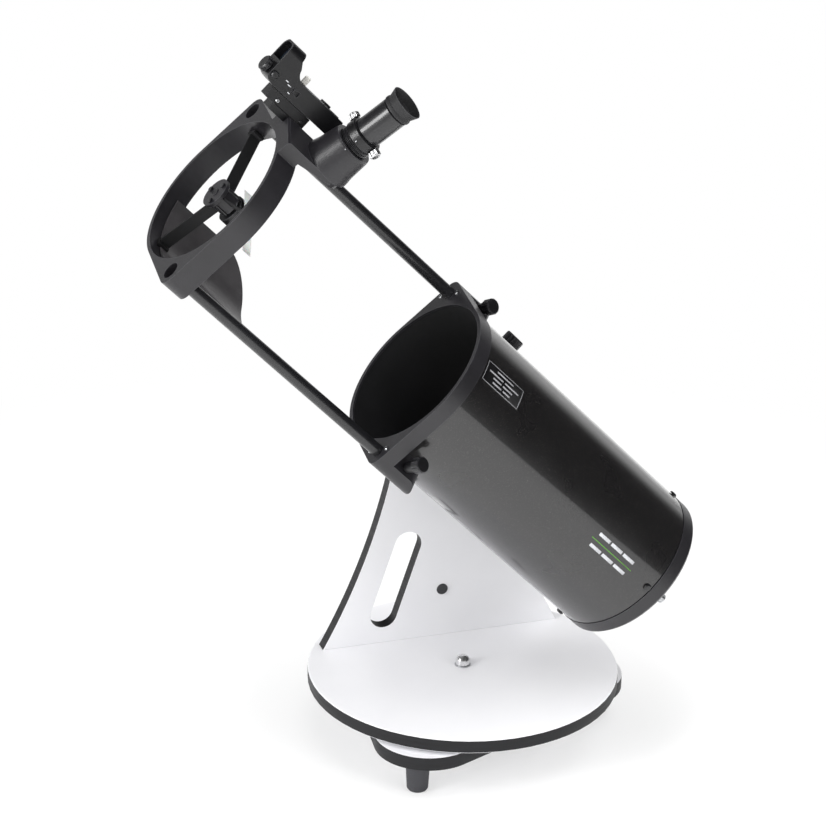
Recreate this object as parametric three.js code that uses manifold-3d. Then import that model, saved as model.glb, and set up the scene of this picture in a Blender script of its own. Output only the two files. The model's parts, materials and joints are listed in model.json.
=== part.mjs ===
// A tabletop dobsonian telescope: a short-tube Newtonian reflector on a one-armed turntable mount.
// Millimetres, +Z up. The tube points towards -Y and up, the side arm stands at -X, and the altitude axis
// runs along X. Everything is drawn about the azimuth axis, and the finished telescope is then moved so that
// the origin is the middle of the first foot's ground face.
import * as THREE from 'three';
import { mergeVertices } from 'three/addons/utils/BufferGeometryUtils.js';
import Module from 'manifold-3d';

const wasm = await Module();
wasm.setup();

// ---------------------------------------------------------------- driving dimensions
const BOARD = 16;                       // thickness of every laminated board
const FOOT_HEIGHT = 38;
const BEARING_GAP = 4.5;                // the azimuth pads' thickness
const FOOT_REACH = 161;                 // the feet's and the pads' distances from the azimuth axis
const PAD_REACH = 128;
const AZIMUTH_BOLT_RADIUS = 4;
const BOLT_HOLE_RADIUS = 4.3;
const AZIMUTH_WASHER = { inner: 4.2, outer: 9.2, thickness: 1.6 };
const DISC_RADIUS = 177.5;
const LOBE_RADIUS = 60;                 // the ground board's three rounded corners
const LOBE_REACH = 127.5;
const LOBE_ANGLES = [-36.6, 83.4, 203.4];
const ARM_INNER_X = -78.5;              // the arm's face beside the tube
const ARM_HALF_FOOT = 143.5;
const ARM_EDGE_RADIUS = 795;            // the long hollow curve of the arm's two edges
const ARM_TOP_RADIUS = 48;
const PIVOT_ABOVE_DISC = 308.5;
const TUBE_RADIUS = 91;
const TUBE_WALL = 1.5;
const TUBE_TO_ARM = 34;
const ALTITUDE = 45.5;                  // degrees above the horizon at rest
const MIRROR_RADIUS = 75;
const FOCAL_LENGTH = 750;
const REAR_S = -259.5;                  // distances along the tube are counted from the altitude axis
const CELL_S = -240;
const RING_REAR_S = 97;
const RING_FRONT_S = 115;
const RING_RADIUS = 93;
const MOUTH_RADIUS = 88.6;
const TOP_RING_REAR_S = 404;
const TOP_RING_FRONT_S = 431;
const ROD_CIRCLE = 106;                 // the rods' distance from the tube's axis
const ROD_RADIUS = 7;
const ROD_ANGLE = -37;                  // degrees from the tube's upper side, positive away from the arm
const LUG_CENTRE = 110;
const LUG_RADIUS = 12;
const FOCUSER_ANGLE = 21;
const FOCUSER_S = 374.5;
const DIAGONAL_RADIUS = 24;
const DIAGONAL_S = 370;
const DIAGONAL_THICKNESS = 12;
const DIAGONAL_OFFSET = 2;              // the diagonal sits this far off the axis, away from the focuser
const FINDER_ANGLE = 0;
const REST = 0.3;                       // clearance left where one piece rests on another
const BIG_ROUND = 64;                   // sides drawn round the tube and the boards' large circles

const GROUND_BOTTOM = FOOT_HEIGHT;
const GROUND_TOP = GROUND_BOTTOM + BOARD;
const DISC_BOTTOM = GROUND_TOP + BEARING_GAP;
const DISC_TOP = DISC_BOTTOM + BOARD;
const PIVOT_Z = DISC_TOP + PIVOT_ABOVE_DISC;
const TUBE_X = ARM_INNER_X + TUBE_TO_ARM + TUBE_RADIUS;
const ARM_OUTER_X = ARM_INNER_X - BOARD;

// ---------------------------------------------------------------- materials
const looks = {
  laminate: { color: 0xe6e8ee, roughness: 0.42, metalness: 0 },
  casting: { color: 0x3f3f43, roughness: 0.62, metalness: 0 },
  softBlack: { color: 0x1d1d20, roughness: 0.75, metalness: 0 },
  tubePaint: { color: 0x15161a, roughness: 0.2, metalness: 0.1 },
  matteBlack: { color: 0x101012, roughness: 0.9, metalness: 0 },
  rodBlack: { color: 0x232326, roughness: 0.35, metalness: 0.4 },
  chrome: { color: 0xd4d6da, roughness: 0.14, metalness: 1 },
  steel: { color: 0x9fa3a8, roughness: 0.35, metalness: 1 },
  rubber: { color: 0x1b1b1c, roughness: 0.85, metalness: 0 },
  white: { color: 0xf0f0ee, roughness: 0.5, metalness: 0 },
  mirror: { color: 0xe8edf2, roughness: 0.03, metalness: 1 },
  glass: { color: 0x9fb6c6, roughness: 0.05, metalness: 0 },
};

function meshOf(name, geometry, look) {
  const mesh = new THREE.Mesh(geometry, new THREE.MeshStandardMaterial(looks[look]));
  mesh.name = name;
  return mesh;
}

// ---------------------------------------------------------------- solids
function positionsOnly(geometry) {
  const bare = new THREE.BufferGeometry();
  bare.setAttribute('position', geometry.getAttribute('position').clone());
  if (geometry.index) bare.setIndex(geometry.index.clone());
  return mergeVertices(bare, 1e-5);
}

function solid(geometry) {
  const merged = positionsOnly(geometry);
  const mesh = new wasm.Mesh({
    numProp: 3,
    vertProperties: new Float32Array(merged.getAttribute('position').array),
    triVerts: new Uint32Array(merged.index.array),
  });
  mesh.merge();
  return new wasm.Manifold(mesh);
}

function geometryOf(manifold) {
  const mesh = manifold.getMesh();
  const geometry = new THREE.BufferGeometry();
  geometry.setAttribute('position', new THREE.BufferAttribute(new Float32Array(mesh.vertProperties), 3));
  geometry.setIndex(new THREE.BufferAttribute(new Uint32Array(mesh.triVerts), 1));
  return geometry;
}

// A solid of revolution about Z from [radius, z] points.
function turned(points, segments = 24) {
  const closed = points.map(([r, z]) => new THREE.Vector2(r, z));
  if (points[0][0] > 0) closed.push(closed[0].clone());
  const geometry = new THREE.LatheGeometry(closed, segments);
  geometry.rotateX(Math.PI / 2);
  const body = solid(geometry);
  return body.volume() < 0 ? solid(flipped(geometry)) : body;
}

function flipped(geometry) {
  const merged = positionsOnly(geometry);
  const index = merged.index.array;
  for (let i = 0; i < index.length; i += 3) {
    const first = index[i];
    index[i] = index[i + 1];
    index[i + 1] = first;
  }
  return merged;
}

function rod(radius, low, high, segments = 20) {
  return turned([[0, low], [radius, low], [radius, high], [0, high]], segments);
}

function ring(inner, outer, low, high, segments = 28) {
  return turned([[inner, low], [outer, low], [outer, high], [inner, high]], segments);
}

function box(x0, x1, y0, y1, z0, z1) {
  const geometry = new THREE.BoxGeometry(x1 - x0, y1 - y0, z1 - z0);
  geometry.translate((x0 + x1) / 2, (y0 + y1) / 2, (z0 + z1) / 2);
  return solid(geometry);
}

// A flat outline in XY, raised from z = low to z = high.
function raised(shape, low, high, curveSegments = 12) {
  const depth = high - low;
  const geometry = new THREE.ExtrudeGeometry(shape, { depth, bevelEnabled: false, curveSegments });
  geometry.translate(0, 0, low);
  return solid(geometry);
}

const radians = (degrees) => (degrees * Math.PI) / 180;
const moved = (body, x, y, z) => body.translate([x, y, z]);
const aroundZ = (body, degrees) => body.rotate([0, 0, degrees]);

// Turns a body built along +Z so that it points out from the tube's axis, at an angle from its upper side.
const outward = (body, degrees) => body.rotate([-90, 0, 0]).rotate([0, 0, -degrees]);

// The point in (X, Y) at a distance and an angle from the tube's upper side.
function onCircle(radius, degrees) {
  return [radius * Math.sin(radians(degrees)), radius * Math.cos(radians(degrees))];
}

// A knob with a gripping edge: a flat disc with shallow round flutes, built along +Z.
function flutedKnob(radius, low, high, flutes, depth) {
  const chamfer = 1.2;
  let body = turned([[0, low], [radius - chamfer, low], [radius, low + chamfer],
    [radius, high - chamfer], [radius - chamfer, high], [0, high]], flutes * 2);
  const cutter = rod(depth * 1.6, low - 1, high + 1, 6);
  for (let i = 0; i < flutes; i += 1) {
    const angle = (i * 2 * Math.PI) / flutes;
    const reach = radius + depth * 0.6;
    body = body.subtract(moved(cutter, reach * Math.cos(angle), reach * Math.sin(angle), 0));
  }
  return body;
}

// ---------------------------------------------------------------- ground board and its feet
function groundBoard() {
  const shape = new THREE.Shape();
  LOBE_ANGLES.forEach((angle, i) => {
    const centre = [LOBE_REACH * Math.cos(radians(angle)), LOBE_REACH * Math.sin(radians(angle))];
    if (i === 0) {
      const start = radians(angle - 60);
      shape.moveTo(centre[0] + LOBE_RADIUS * Math.cos(start), centre[1] + LOBE_RADIUS * Math.sin(start));
    }
    shape.absarc(centre[0], centre[1], LOBE_RADIUS, radians(angle - 60), radians(angle + 60), false);
  });
  const hole = rod(BOLT_HOLE_RADIUS, GROUND_BOTTOM - 1, GROUND_TOP + 1);
  return raised(shape, GROUND_BOTTOM, GROUND_TOP, 18).subtract(hole);
}

function foot() {
  const top = 13.8;
  return turned([[0, 0], [10.5, 0], [12, 2.5], [top, FOOT_HEIGHT - 3], [top, FOOT_HEIGHT], [0, FOOT_HEIGHT]]);
}

// The domed bolt that ties the two boards together, and the lock nut it wears below.
function azimuthBolt(washerTop) {
  const bottom = GROUND_BOTTOM - 14;
  const head = AZIMUTH_WASHER.outer - 1;
  const shank = [[0, bottom], [AZIMUTH_BOLT_RADIUS, bottom], [AZIMUTH_BOLT_RADIUS, washerTop],
    [head, washerTop]];
  const dome = [[head, 4.6], [7.5, 7.2], [5.6, 9.4], [3, 10.6], [0, 11]];
  return turned([...shank, ...dome.map(([r, rise]) => [r, washerTop + rise])]);
}

function azimuthLockNut() {
  const nut = rod(7.5, GROUND_BOTTOM - 8, GROUND_BOTTOM, 6);
  return nut.subtract(rod(AZIMUTH_BOLT_RADIUS + 0.1, GROUND_BOTTOM - 9, GROUND_BOTTOM + 1));
}

function groundGroup() {
  const group = new THREE.Group();
  group.add(meshOf('ground_board', geometryOf(groundBoard()), 'laminate'));
  LOBE_ANGLES.forEach((angle, i) => {
    const at = (reach) => [reach * Math.cos(radians(angle)), reach * Math.sin(radians(angle))];
    const [footX, footY] = at(FOOT_REACH);
    group.add(meshOf(`foot_${i + 1}`, geometryOf(moved(foot(), footX, footY, 0)), 'rubber'));
    const [padX, padY] = at(PAD_REACH);
    const pad = moved(rod(13, GROUND_TOP, DISC_BOTTOM), padX, padY, 0);
    group.add(meshOf(`azimuth_pad_${i + 1}`, geometryOf(pad), 'white'));
  });
  const washerTop = DISC_TOP + AZIMUTH_WASHER.thickness;
  const washer = ring(AZIMUTH_WASHER.inner, AZIMUTH_WASHER.outer, DISC_TOP, washerTop);
  group.add(meshOf('azimuth_washer', geometryOf(washer), 'steel'));
  group.add(meshOf('azimuth_bolt', geometryOf(azimuthBolt(washerTop)), 'chrome'));
  group.add(meshOf('azimuth_locknut', geometryOf(azimuthLockNut()), 'steel'));
  return group;
}

// ---------------------------------------------------------------- turntable: disc, arm and altitude bearing
function turntableDisc() {
  const edge = 0.9;
  const body = turned([[0, DISC_BOTTOM], [DISC_RADIUS - edge, DISC_BOTTOM], [DISC_RADIUS, DISC_BOTTOM + edge],
    [DISC_RADIUS, DISC_TOP - edge], [DISC_RADIUS - edge, DISC_TOP], [0, DISC_TOP]], BIG_ROUND);
  return body.subtract(rod(BOLT_HOLE_RADIUS, DISC_BOTTOM - 1, DISC_TOP + 1));
}

// The arm's outline in (y, height above the disc): two hollow edges that run into a round top.
function armOutline() {
  const foot = ARM_HALF_FOOT;
  const reach = ARM_EDGE_RADIUS + ARM_TOP_RADIUS;
  const chord = Math.hypot(foot, PIVOT_ABOVE_DISC);
  const lean = Math.atan2(PIVOT_ABOVE_DISC, foot);
  const cosine = (ARM_EDGE_RADIUS ** 2 + chord ** 2 - reach ** 2) / (2 * ARM_EDGE_RADIUS * chord);
  const turn = lean + Math.acos(cosine);
  const centre = [-foot + ARM_EDGE_RADIUS * Math.cos(turn), ARM_EDGE_RADIUS * Math.sin(turn)];
  const start = Math.atan2(-centre[1], -foot - centre[0]);
  const join = Math.atan2(PIVOT_ABOVE_DISC - centre[1], -centre[0]);
  const shape = new THREE.Shape();
  shape.moveTo(-foot, 0);
  shape.absarc(centre[0], centre[1], ARM_EDGE_RADIUS, start, join, false);
  shape.absarc(0, PIVOT_ABOVE_DISC, ARM_TOP_RADIUS, join + Math.PI, -join, true);
  shape.absarc(-centre[0], centre[1], ARM_EDGE_RADIUS, Math.PI - join, Math.PI - start, false);
  shape.closePath();
  return shape;
}

// A hand slot: a stadium between two points of the arm's outline plane.
function slotOutline() {
  const low = new THREE.Vector2(-70.5, 35.5);
  const high = new THREE.Vector2(-42, 121.5);
  const radius = 16;
  const along = Math.atan2(high.y - low.y, high.x - low.x);
  const shape = new THREE.Shape();
  shape.absarc(high.x, high.y, radius, along - Math.PI / 2, along + Math.PI / 2, false);
  shape.absarc(low.x, low.y, radius, along + Math.PI / 2, along + 1.5 * Math.PI, false);
  shape.closePath();
  return shape;
}

// Stands an outline drawn in (y, height) up in the arm's plane.
function standing(shape, outerX, innerX, curveSegments) {
  const flat = raised(shape, 0, innerX - outerX, curveSegments);
  return moved(flat.rotate([90, 0, 90]), outerX, 0, DISC_TOP);
}

const PLUG = { y: 0.6, height: 59, radius: 7 };
const ALTITUDE_BORE = 5.3;
const BEARING_THICKNESS = 4;

function sideArm() {
  const alongX = (radius) => rod(radius, ARM_OUTER_X - 1, ARM_INNER_X + 1).rotate([0, 90, 0]);
  const plugHole = rod(6, ARM_INNER_X - 9, ARM_INNER_X + 1).rotate([0, 90, 0]);
  return standing(armOutline(), ARM_OUTER_X, ARM_INNER_X, 14)
    .subtract(standing(slotOutline(), ARM_OUTER_X - 1, ARM_INNER_X + 1, 12))
    .subtract(moved(plugHole, 0, PLUG.y, DISC_TOP + PLUG.height))
    .subtract(moved(alongX(ALTITUDE_BORE), 0, 0, PIVOT_Z));
}

function armPlug() {
  return turned([[0, -7], [5.9, -7], [5.9, 0], [PLUG.radius, 0], [PLUG.radius - 0.8, 1.4], [0, 1.8]]);
}

// The hand knob outside the arm that sets how stiffly the tube turns.
function altitudeKnob() {
  const face = ARM_OUTER_X - REST;
  return flutedKnob(24, face - 20, face - 4, 10, 2.2)
    .add(rod(13, face - 6, face))
    .subtract(rod(ALTITUDE_BORE, face - 18, face + 1));
}

function turntableGroup() {
  const group = new THREE.Group();
  group.add(meshOf('turntable_disc', geometryOf(turntableDisc()), 'laminate'));
  group.add(meshOf('side_arm', geometryOf(sideArm()), 'laminate'));
  const plug = moved(armPlug().rotate([0, 90, 0]), ARM_INNER_X, PLUG.y, DISC_TOP + PLUG.height);
  group.add(meshOf('arm_plug', geometryOf(plug), 'casting'));
  const onPivot = (body) => geometryOf(moved(body.rotate([0, 90, 0]), 0, 0, PIVOT_Z));
  const bearing = ring(ALTITUDE_BORE, 34, ARM_INNER_X, ARM_INNER_X + BEARING_THICKNESS, 32);
  group.add(meshOf('altitude_bearing', onPivot(bearing), 'white'));
  group.add(meshOf('altitude_knob', onPivot(altitudeKnob()), 'softBlack'));
  return group;
}

// ---------------------------------------------------------------- saddle, in the tube's frame
// In the tube's frame Z runs along the tube to the sky, Y is its upper side and X points away from the arm.
const BAR_OUTER_X = -106.3;
const BAR_HALF_WIDE = 22;
const BAR_HALF_NARROW = 17.5;
const SADDLE_OUTER_X = ARM_INNER_X + BEARING_THICKNESS + REST - TUBE_X;
const SADDLE_HALF_LENGTH = 42;
const CLAMP = { x: -101, z: -4, shank: 4, knob: 11.5 };

// The dovetail's section, widened by a clearance.
function dovetailSection(clearance) {
  const shape = new THREE.Shape();
  const low = BAR_OUTER_X - clearance;
  const high = -86;
  const lean = (BAR_HALF_WIDE - BAR_HALF_NARROW) / 13;
  const wide = BAR_HALF_WIDE + clearance * 1.1;
  const narrow = wide - lean * (high - low);
  shape.moveTo(low, -wide);
  shape.lineTo(high, -narrow);
  shape.lineTo(high, narrow);
  shape.lineTo(low, wide);
  shape.closePath();
  return shape;
}

function saddle() {
  const length = SADDLE_HALF_LENGTH;
  let body = box(SADDLE_OUTER_X, -94.5, -34, 40, -length, length);
  body = body.subtract(raised(dovetailSection(REST), -length - 1, length + 1));
  const screwWay = rod(CLAMP.shank + REST, BAR_HALF_NARROW, 50).rotate([-90, 0, 0]);
  const screwHole = moved(screwWay, CLAMP.x, 0, CLAMP.z);
  const boltHole = rod(ALTITUDE_BORE, SADDLE_OUTER_X - 1, -100).rotate([0, 90, 0]);
  const boltPocket = rod(10.3, BAR_OUTER_X - 7, BAR_OUTER_X + 1, 6).rotate([0, 90, 0]);
  return body.subtract(screwHole).subtract(boltHole).subtract(boltPocket);
}

// The hand screw whose flat end presses the dovetail bar against the far side of its channel.
function clampKnob() {
  const screw = rod(CLAMP.shank, BAR_HALF_WIDE + REST, 84);
  const head = flutedKnob(CLAMP.knob, 82, 98.5, 14, 0.8);
  return moved(screw.add(head).rotate([-90, 0, 0]), CLAMP.x, 0, CLAMP.z);
}

function altitudeBolt() {
  const outerEnd = ARM_OUTER_X - 16 - TUBE_X;
  const shank = rod(4.9, outerEnd, BAR_OUTER_X - 3);
  const head = rod(9.8, BAR_OUTER_X - 6.6, BAR_OUTER_X - 0.9, 6);
  return shank.add(head).rotate([0, 90, 0]);
}

function saddleGroup() {
  const group = new THREE.Group();
  group.add(meshOf('dovetail_saddle', geometryOf(saddle()), 'casting'));
  group.add(meshOf('saddle_clamp_knob', geometryOf(clampKnob()), 'softBlack'));
  group.add(meshOf('altitude_bolt', geometryOf(altitudeBolt()), 'steel'));
  return group;
}

// ---------------------------------------------------------------- main tube and its castings
const CELL_SCREW_S = -234.5;
const CELL_SCREW_ANGLES = [0, 90, 180, 270];
const COLLIMATION_ANGLES = [90, 210, 330];
const COLLIMATION_CIRCLE = 68;
const MIRROR_BACK_S = -243;
const MIRROR_THICKNESS = 21;
const CLAMP_S = 81.5;
const CHANNEL_REAR = 58;

function dovetailBar() {
  return raised(dovetailSection(0), -75, 75).subtract(rod(TUBE_RADIUS + REST, -80, 80, BIG_ROUND));
}

function mainTube() {
  let body = ring(TUBE_RADIUS - TUBE_WALL, TUBE_RADIUS, CELL_S + 0.6, RING_FRONT_S - 2.8, BIG_ROUND);
  for (const angle of CELL_SCREW_ANGLES) {
    body = body.subtract(moved(outward(rod(2.4, 80, 100, 12), angle), 0, 0, CELL_SCREW_S));
  }
  return body;
}

// The outline shared by both end rings: a circle with a pointed lug round each rod.
function luggedOutline(radius) {
  const reach = LUG_CENTRE;
  const spread = Math.acos((radius - LUG_RADIUS) / reach);
  const shape = new THREE.Shape();
  // Angles here are measured from +X, so a rod at ROD_ANGLE from +Y towards +X stands at 90 - ROD_ANGLE.
  const lugs = [radians(90 - ROD_ANGLE), radians(270 - ROD_ANGLE)];
  lugs.forEach((lug, i) => {
    const centre = [reach * Math.cos(lug), reach * Math.sin(lug)];
    const start = lug - spread;
    if (i === 0) {
      shape.moveTo(centre[0] + LUG_RADIUS * Math.cos(start), centre[1] + LUG_RADIUS * Math.sin(start));
    }
    shape.absarc(centre[0], centre[1], LUG_RADIUS, lug - spread, lug + spread, false);
    shape.absarc(0, 0, radius, lug + spread, lug + Math.PI - spread, false);
  });
  return shape;
}

function frontRing() {
  const rear = RING_REAR_S;
  const front = RING_FRONT_S;
  let body = raised(luggedOutline(RING_RADIUS), rear, front, 16);
  for (const angle of [ROD_ANGLE, ROD_ANGLE + 180]) {
    const [x, y] = onCircle(ROD_CIRCLE, angle);
    const bore = moved(rod(ROD_RADIUS + 0.4, CHANNEL_REAR - 1, front + 1), x, y, 0);
    body = body.add(rodChannel(angle)).subtract(bore).subtract(acrossRod(rod(3.4, 0, 40, 12), angle));
  }
  body = body.subtract(rod(TUBE_RADIUS + REST, CHANNEL_REAR - 2, front - 2.5, BIG_ROUND));
  return body.subtract(rod(MOUTH_RADIUS, rear, front + 1, BIG_ROUND));
}

// The open channel that reaches back along the tube behind a lug, round at its end. It holds the rod's clamp.
function rodChannel(angle) {
  const half = 12;
  const rear = CHANNEL_REAR;
  const front = RING_REAR_S + 1;
  const section = raised(luggedOutline(RING_RADIUS), rear, front, 16);
  const square = aroundZ(box(-half, half, TUBE_RADIUS - 8, 130, rear + half, front + 1), -angle);
  const rounded = outward(rod(half, TUBE_RADIUS - 8, 130, 24), angle).translate([0, 0, rear + half]);
  const trench = aroundZ(box(-8.5, 8.5, 80, ROD_CIRCLE, rear - 1, RING_REAR_S - 4), -angle);
  const [x, y] = onCircle(ROD_CIRCLE, angle);
  const widened = moved(rod(8.5, rear - 1, RING_REAR_S - 4), x, y, 0);
  return section.intersect(square.add(rounded)).subtract(trench).subtract(widened);
}

// Places a body built along +Z so that it lies across a rod and points away from the arm.
function acrossRod(body, angle) {
  const [x, y] = onCircle(ROD_CIRCLE, angle);
  return outward(body, ROD_ANGLE + 90).translate([x, y, CLAMP_S]);
}

function rodClamp() {
  const screw = rod(3, 7.4, 24, 16);
  const collar = turned([[0, 14], [5.5, 14], [6.5, 20], [6.5, 29], [0, 29]], 16);
  const head = flutedKnob(9, 28, 39, 10, 0.8);
  return screw.add(collar).add(head);
}

function rearCell() {
  const sleeve = TUBE_RADIUS - TUBE_WALL - REST;
  const rim = TUBE_RADIUS + 0.5;
  const step = CELL_S - 0.4;
  const lip = -226;
  const floor = REAR_S + 4;
  let body = turned([[0, REAR_S], [89, REAR_S], [rim, REAR_S + 3], [rim, step], [sleeve, step], [sleeve, lip],
    [84, lip], [84, floor], [0, floor]], BIG_ROUND);
  for (const angle of COLLIMATION_ANGLES) {
    const [x, y] = onCircle(COLLIMATION_CIRCLE, angle);
    body = body.subtract(moved(rod(3.4, REAR_S - 1, -250, 12), x, y, 0));
    body = body.subtract(ventSlot(angle + 60));
  }
  for (const angle of CELL_SCREW_ANGLES) {
    body = body.subtract(moved(outward(rod(2.3, 80, 100, 12), angle), 0, 0, CELL_SCREW_S));
  }
  return body;
}

// An opening in the cell's back that lets the mirror's back reach the night air.
function ventSlot(angle) {
  const slot = raised(stadium(30, 9), REAR_S - 1, -250, 7);
  const [x, y] = onCircle(50, angle);
  return moved(aroundZ(slot, -angle), x, y, 0);
}

function stadium(length, radius) {
  const shape = new THREE.Shape();
  const half = length / 2;
  shape.absarc(half, 0, radius, -Math.PI / 2, Math.PI / 2, false);
  shape.absarc(-half, 0, radius, Math.PI / 2, 1.5 * Math.PI, false);
  shape.closePath();
  return shape;
}

// The mirror's front is hollow: the depth at radius r is r squared over four focal lengths.
function primaryMirror() {
  const rim = MIRROR_BACK_S + MIRROR_THICKNESS;
  const depth = (r) => (MIRROR_RADIUS ** 2 - r ** 2) / (4 * FOCAL_LENGTH);
  const rings = [74.4, 60, 40, 20, 0];
  const face = rings.map((r) => [r, rim - depth(r)]);
  const edge = [[MIRROR_RADIUS, MIRROR_BACK_S], [MIRROR_RADIUS, rim - 0.6]];
  return turned([[0, MIRROR_BACK_S], ...edge, ...face], 48);
}

// A plate under the mirror with three posts whose lips hold the mirror's edge.
function mirrorCarrier() {
  const top = MIRROR_BACK_S - REST;
  const rim = MIRROR_BACK_S + MIRROR_THICKNESS;
  let body = rod(77, top - 6, top, 40);
  body = body.subtract(rod(30, top - 7, top + 1, 24));
  for (const angle of COLLIMATION_ANGLES) {
    const post = box(-7, 7, MIRROR_RADIUS + REST, 81, top - 6, rim + 2.5);
    const lip = box(-7, 7, 69, 81, rim + REST, rim + 2.5);
    body = body.add(aroundZ(post.add(lip), -angle));
    const [x, y] = onCircle(COLLIMATION_CIRCLE, angle);
    body = body.subtract(moved(rod(3.4, top - 7, top + 1, 12), x, y, 0));
  }
  return body.intersect(rod(81.5, top - 8, rim + 5, 48));
}

function tubeGroup() {
  const group = new THREE.Group();
  group.add(meshOf('dovetail_bar', geometryOf(dovetailBar()), 'rodBlack'));
  group.add(meshOf('main_tube', geometryOf(mainTube()), 'tubePaint'));
  group.add(meshOf('front_ring', geometryOf(frontRing()), 'casting'));
  group.add(meshOf('rear_cell', geometryOf(rearCell()), 'casting'));
  CELL_SCREW_ANGLES.forEach((angle, i) => {
    const screw = turned([[0, 86], [2, 86], [2, 91.6], [4.4, 91.6], [4.4, 92.8], [3, 94], [0, 94.3]], 12);
    const placed = moved(outward(screw, angle), 0, 0, CELL_SCREW_S);
    group.add(meshOf(`cell_screw_${i + 1}`, geometryOf(placed), 'rodBlack'));
  });
  group.add(meshOf('primary_mirror', geometryOf(primaryMirror()), 'mirror'));
  group.add(meshOf('mirror_carrier', geometryOf(mirrorCarrier()), 'softBlack'));
  COLLIMATION_ANGLES.forEach((angle, i) => {
    const [x, y] = onCircle(COLLIMATION_CIRCLE, angle);
    const screw = rod(3, REAR_S - 3, MIRROR_BACK_S - 1, 12)
      .add(flutedKnob(5.5, REAR_S - 17, REAR_S - 0.5, 8, 0.6));
    group.add(meshOf(`collimation_knob_${i + 1}`, geometryOf(moved(screw, x, y, 0)), 'steel'));
  });
  [ROD_ANGLE, ROD_ANGLE + 180].forEach((angle, i) => {
    group.add(meshOf(`rod_clamp_${i + 1}`, geometryOf(acrossRod(rodClamp(), angle)), 'softBlack'));
  });
  return group;
}

// ---------------------------------------------------------------- upper cage on its two rods
const VANE_ANGLES = [ROD_ANGLE, ROD_ANGLE + 120, ROD_ANGLE - 120];
const VANE = { half: 0.8, rear: 407, front: 421, inner: 10, outer: 87.6, tabInner: 83.6, tabHalf: 5.5 };
const HUB_SCREW_ANGLES = [ROD_ANGLE + 60, ROD_ANGLE + 180, ROD_ANGLE - 60];
const PLATE_TOP = 106.5;
const TURRET_TOP = 143;
const BARREL_RADIUS = 19;
const HUB = { plate: 17, body: 13, front: 426.5, screwCircle: 11.5 };
const BAFFLE = { inner: 86.4, outer: 87.6, halfSpan: 43.5, corner: 54, top: 417, bottom: 294.5 };
const ROD_RECESS = { radius: 9.5, depth: 12 };

function upperRing() {
  const rear = TOP_RING_REAR_S;
  const front = TOP_RING_FRONT_S;
  const radius = 92.5;
  let body = raised(luggedOutline(radius), rear, front, 16);
  body = body.add(outward(focuserBase(), FOCUSER_ANGLE));
  body = body.add(outward(finderPad(), FINDER_ANGLE));
  body = body.subtract(rod(MOUTH_RADIUS - 0.2, rear - 1, front + 1, BIG_ROUND));
  const focuserBore = moved(rod(BARREL_RADIUS + REST, 80, 150, 32), 0, -FOCUSER_S, 0);
  body = body.subtract(outward(focuserBore, FOCUSER_ANGLE));
  for (const angle of [ROD_ANGLE, ROD_ANGLE + 180]) {
    const [x, y] = onCircle(ROD_CIRCLE, angle);
    body = body.subtract(moved(rod(ROD_RADIUS + REST, rear - 1, front - ROD_RECESS.depth + 1), x, y, 0));
    body = body.subtract(moved(rod(ROD_RECESS.radius, front - ROD_RECESS.depth, front + 1), x, y, 0));
  }
  return body;
}

// The plate and turret that hold the focuser, built with Z outwards and Y towards the mirror end.
function focuserBase() {
  const profile = new THREE.Shape();
  const rearEnd = FOCUSER_S - 24;
  profile.moveTo(TOP_RING_FRONT_S, 84);
  profile.lineTo(TOP_RING_FRONT_S, PLATE_TOP - 2);
  profile.lineTo(TOP_RING_FRONT_S - 2, PLATE_TOP);
  profile.lineTo(rearEnd, PLATE_TOP);
  profile.lineTo(rearEnd, PLATE_TOP - 2);
  profile.lineTo(TOP_RING_REAR_S + 2, 95);
  profile.lineTo(TOP_RING_REAR_S + 2, 84);
  profile.closePath();
  const web = raised(profile, -24, 24);
  // The profile is drawn in (distance along the tube, distance outwards).
  const plate = web.rotate([90, 0, 0]).rotate([0, 0, -90]);
  const turret = turned([[0, 98], [24, 98], [24, PLATE_TOP - 1], [28.4, PLATE_TOP], [28.4, PLATE_TOP + 3],
    [26.6, PLATE_TOP + 12], [24.6, TURRET_TOP - 3], [23.6, TURRET_TOP], [0, TURRET_TOP]], 36);
  // Behind the focuser's axis the plate is rounded to follow the turret.
  const roundEnd = moved(rod(25, 84, PLATE_TOP, 36), 0, -FOCUSER_S, 0);
  const square = box(-25, 25, -TOP_RING_FRONT_S, -FOCUSER_S, 84, PLATE_TOP);
  return plate.intersect(roundEnd.add(square)).add(moved(turret, 0, -FOCUSER_S, 0));
}

function finderPad() {
  return box(-11, 11, -TOP_RING_FRONT_S, -TOP_RING_REAR_S, 86, 100 - REST);
}

function spiderVane(angle) {
  const blade = box(-VANE.half, VANE.half, VANE.inner, VANE.outer, VANE.rear, VANE.front);
  const tab = box(-VANE.tabHalf, VANE.tabHalf, VANE.tabInner, VANE.outer, VANE.rear, VANE.front);
  const trimmed = blade.add(tab).intersect(rod(MOUTH_RADIUS - 0.6, 400, 425, BIG_ROUND));
  return aroundZ(trimmed, -angle);
}

// A round plate on a stout body, with a flat on which each vane's end is held in a slot.
function spiderHub() {
  let body = turned([[0, 404], [HUB.body, 404], [HUB.body, 422], [HUB.plate - 0.6, 422], [HUB.plate, 422.6],
    [HUB.plate, HUB.front], [0, HUB.front]], 28);
  for (const angle of VANE_ANGLES) {
    const halfSlot = VANE.half + REST;
    const slot = box(-halfSlot, halfSlot, VANE.inner - 0.4, HUB.plate, VANE.rear - 0.4, VANE.front + 0.4);
    body = body.subtract(aroundZ(slot, -angle));
  }
  for (const angle of HUB_SCREW_ANGLES) {
    const [x, y] = onCircle(HUB.screwCircle, angle);
    body = body.subtract(moved(rod(1.9, 400, 430, 10), x, y, 0));
    body = body.subtract(moved(rod(4, 400, 419, 12), x * 1.12, y * 1.12, 0));
  }
  return body;
}

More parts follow.
